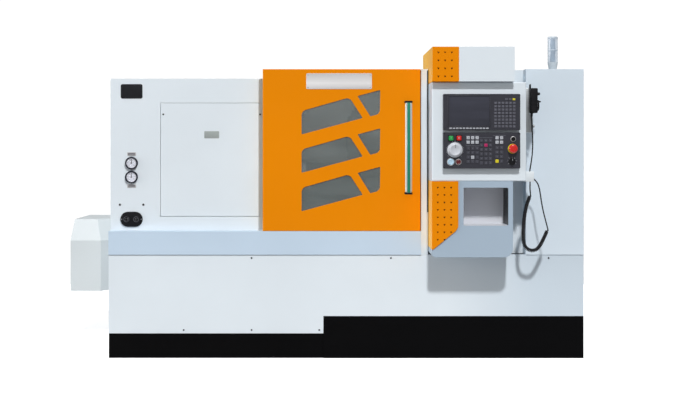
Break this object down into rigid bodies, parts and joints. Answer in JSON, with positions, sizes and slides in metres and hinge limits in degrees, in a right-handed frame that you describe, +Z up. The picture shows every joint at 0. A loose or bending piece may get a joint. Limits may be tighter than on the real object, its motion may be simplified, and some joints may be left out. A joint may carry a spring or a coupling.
{
  "type": "cnc lathe",
  "caption": "Slant-bed turning lathe in a white sheet-metal enclosure with an orange sliding door, control pendant, handset on a curly cord and signal tower.",
  "frame": {"origin": "middle of the footprint on the floor, without the handset's cord", "axes": "+X along the machine to the operator's right, +Y to the back, +Z up"},
  "size_m": [3.029, 1.848, 1.811],
  "materials": {
    "white_paint": "semi-gloss textured powder coat",
    "blue_paint": "semi-gloss light blue-grey paint",
    "orange_paint": "semi-gloss orange paint",
    "black_paint": "satin black paint",
    "casting_grey": "painted casting",
    "ground_steel": "turned and ground steel",
    "guard_steel": "bare sheet steel",
    "plate_silver": "satin aluminium",
    "tinted_glass": "tinted laminated glass",
    "lamp_plastic": "clear ribbed lamp plastic",
    "black_plastic": "fine-grained black plastic",
    "key_plastic": "moulded keys",
    "red_plastic": "moulded red plastic",
    "green_plastic": "moulded green plastic",
    "cord_rubber": "black cord sheath"
  },
  "bodies": {
    "machine": {"lower_front_panel": "white_paint", "left_cabinet_front": "white_paint", "access_cover": "white_paint", "left_end_panel": "white_paint", "right_end_panel": "white_paint", "back_panel": "white_paint", "roof_panels": "white_paint", "bay_panel": "white_paint", "right_cabinet": "white_paint", "drive_guard": "white_paint", "pendant_beam": "white_paint", "pendant_housing": "white_paint", "door_track": "blue_paint", "lower_box": "blue_paint", "pendant_cheeks": "orange_paint", "left_plinth": "black_paint", "coolant_tank": "black_paint", "cast_bed": "casting_grey", "headstock": "casting_grey", "inner_guards": "guard_steel", "handset_bracket": "guard_steel", "panel_screws": "guard_steel", "blank_plates": "plate_silver", "signal_tower": "lamp_plastic", "display_unit": "black_plastic", "operator_panel": "black_plastic", "handset_body": "black_plastic", "socket_plate": "black_plastic", "gauge_cases": "black_plastic", "panel_keys": "key_plastic", "cord_upper_lead": "cord_rubber", "cord_coil": "cord_rubber", "cord_lower_lead": "cord_rubber"},
    "door": {"door_panel": "orange_paint", "door_glass": "tinted_glass", "door_handle": "plate_silver", "door_plate": "plate_silver"},
    "chuck": {"spindle": "ground_steel", "chuck_body": "ground_steel"},
    "chuck_jaw_1": {"chuck_jaw_1": "ground_steel"},
    "chuck_jaw_2": {"chuck_jaw_2": "ground_steel"},
    "chuck_jaw_3": {"chuck_jaw_3": "ground_steel"},
    "carriage": {"carriage": "ground_steel"},
    "cross_slide": {"cross_slide": "casting_grey"},
    "turret": {"turret": "ground_steel"},
    "tailstock": {"tailstock": "casting_grey"},
    "quill": {"quill": "ground_steel"},
    "upper_needle": {"upper_needle": "black_plastic"},
    "lower_needle": {"lower_needle": "black_plastic"},
    "start_button": {"start_button": "green_plastic"},
    "stop_button": {"stop_button": "red_plastic"},
    "cycle_button": {"cycle_button": "key_plastic"},
    "hold_button": {"hold_button": "red_plastic"},
    "feed_dial": {"feed_dial": "key_plastic"},
    "mode_knob": {"mode_knob": "black_plastic"},
    "lock_switch": {"lock_switch": "black_plastic"},
    "estop_button": {"estop_button": "red_plastic"},
    "handset_wheel": {"handset_wheel": "black_plastic"},
    "axis_knob": {"axis_knob": "black_plastic"},
    "rate_knob": {"rate_knob": "black_plastic"}
  },
  "joints": [
    {"name": "door_slide", "type": "slide", "parent": "machine", "child": "door", "axis": [-1, 0, 0], "range_m": [0, 0.78]},
    {"name": "chuck_spin", "type": "hinge", "parent": "machine", "child": "chuck", "pos_m": [0.1845, -0.246, 0.98], "axis": [1, 0, 0], "continuous": true},
    {"name": "jaw_1_slide", "type": "slide", "parent": "chuck", "child": "chuck_jaw_1", "axis": [0, 0, 1], "range_m": [0, 0.008]},
    {"name": "jaw_2_slide", "type": "slide", "parent": "chuck", "child": "chuck_jaw_2", "axis": [0, -0.866, -0.5], "range_m": [0, 0.008]},
    {"name": "jaw_3_slide", "type": "slide", "parent": "chuck", "child": "chuck_jaw_3", "axis": [0, 0.866, -0.5], "range_m": [0, 0.008]},
    {"name": "carriage_slide", "type": "slide", "parent": "machine", "child": "carriage", "axis": [1, 0, 0], "range_m": [-0.12, 0.1]},
    {"name": "cross_slide_feed", "type": "slide", "parent": "carriage", "child": "cross_slide", "axis": [0, 0.7071, 0.7071], "range_m": [-0.12, 0]},
    {"name": "turret_index", "type": "hinge", "parent": "cross_slide", "child": "turret", "pos_m": [0.1845, -0.01265, 1.21334], "axis": [1, 0, 0], "continuous": true},
    {"name": "tailstock_slide", "type": "slide", "parent": "machine", "child": "tailstock", "axis": [1, 0, 0], "range_m": [-0.04, 0.2]},
    {"name": "quill_feed", "type": "slide", "parent": "tailstock", "child": "quill", "axis": [1, 0, 0], "range_m": [-0.1, 0]},
    {"name": "upper_needle_turn", "type": "hinge", "parent": "machine", "child": "upper_needle", "pos_m": [-1.0265, -0.626, 1.0917], "axis": [0, 1, 0], "range_deg": [-130, 130]},
    {"name": "lower_needle_turn", "type": "hinge", "parent": "machine", "child": "lower_needle", "pos_m": [-1.0265, -0.626, 1.0127], "axis": [0, 1, 0], "range_deg": [-130, 130]},
    {"name": "start_press", "type": "slide", "parent": "machine", "child": "start_button", "axis": [0, 1, 0], "range_m": [0, 0.004], "stiffness_N_per_m": 400},
    {"name": "stop_press", "type": "slide", "parent": "machine", "child": "stop_button", "axis": [0, 1, 0], "range_m": [0, 0.004], "stiffness_N_per_m": 400},
    {"name": "cycle_press", "type": "slide", "parent": "machine", "child": "cycle_button", "axis": [0, 1, 0], "range_m": [0, 0.004], "stiffness_N_per_m": 400},
    {"name": "hold_press", "type": "slide", "parent": "machine", "child": "hold_button", "axis": [0, 1, 0], "range_m": [0, 0.004], "stiffness_N_per_m": 400},
    {"name": "estop_press", "type": "slide", "parent": "machine", "child": "estop_button", "axis": [0, 1, 0], "range_m": [0, 0.006], "stiffness_N_per_m": 600},
    {"name": "feed_dial_turn", "type": "hinge", "parent": "machine", "child": "feed_dial", "pos_m": [0.76652, -0.894, 1.167], "axis": [0, 1, 0], "range_deg": [-135, 135]},
    {"name": "mode_knob_turn", "type": "hinge", "parent": "machine", "child": "mode_knob", "pos_m": [1.07449, -0.894, 1.10501], "axis": [0, 1, 0], "range_deg": [-120, 120]},
    {"name": "lock_switch_turn", "type": "hinge", "parent": "machine", "child": "lock_switch", "pos_m": [1.08049, -0.894, 1.226], "axis": [0, 1, 0], "range_deg": [0, 90]},
    {"name": "handset_wheel_turn", "type": "hinge", "parent": "machine", "child": "handset_wheel", "pos_m": [1.2205, -0.821, 1.41], "axis": [1, 0, 0], "continuous": true},
    {"name": "axis_knob_turn", "type": "hinge", "parent": "machine", "child": "axis_knob", "pos_m": [1.2205, -0.839, 1.472], "axis": [1, 0, 0], "range_deg": [-60, 60]},
    {"name": "rate_knob_turn", "type": "hinge", "parent": "machine", "child": "rate_knob", "pos_m": [1.2205, -0.803, 1.472], "axis": [1, 0, 0], "range_deg": [-60, 60]}
  ],
  "couplings": [
    {"joint": "jaw_2_slide", "follows": "jaw_1_slide", "ratio": 1},
    {"joint": "jaw_3_slide", "follows": "jaw_1_slide", "ratio": 1}
  ]
}
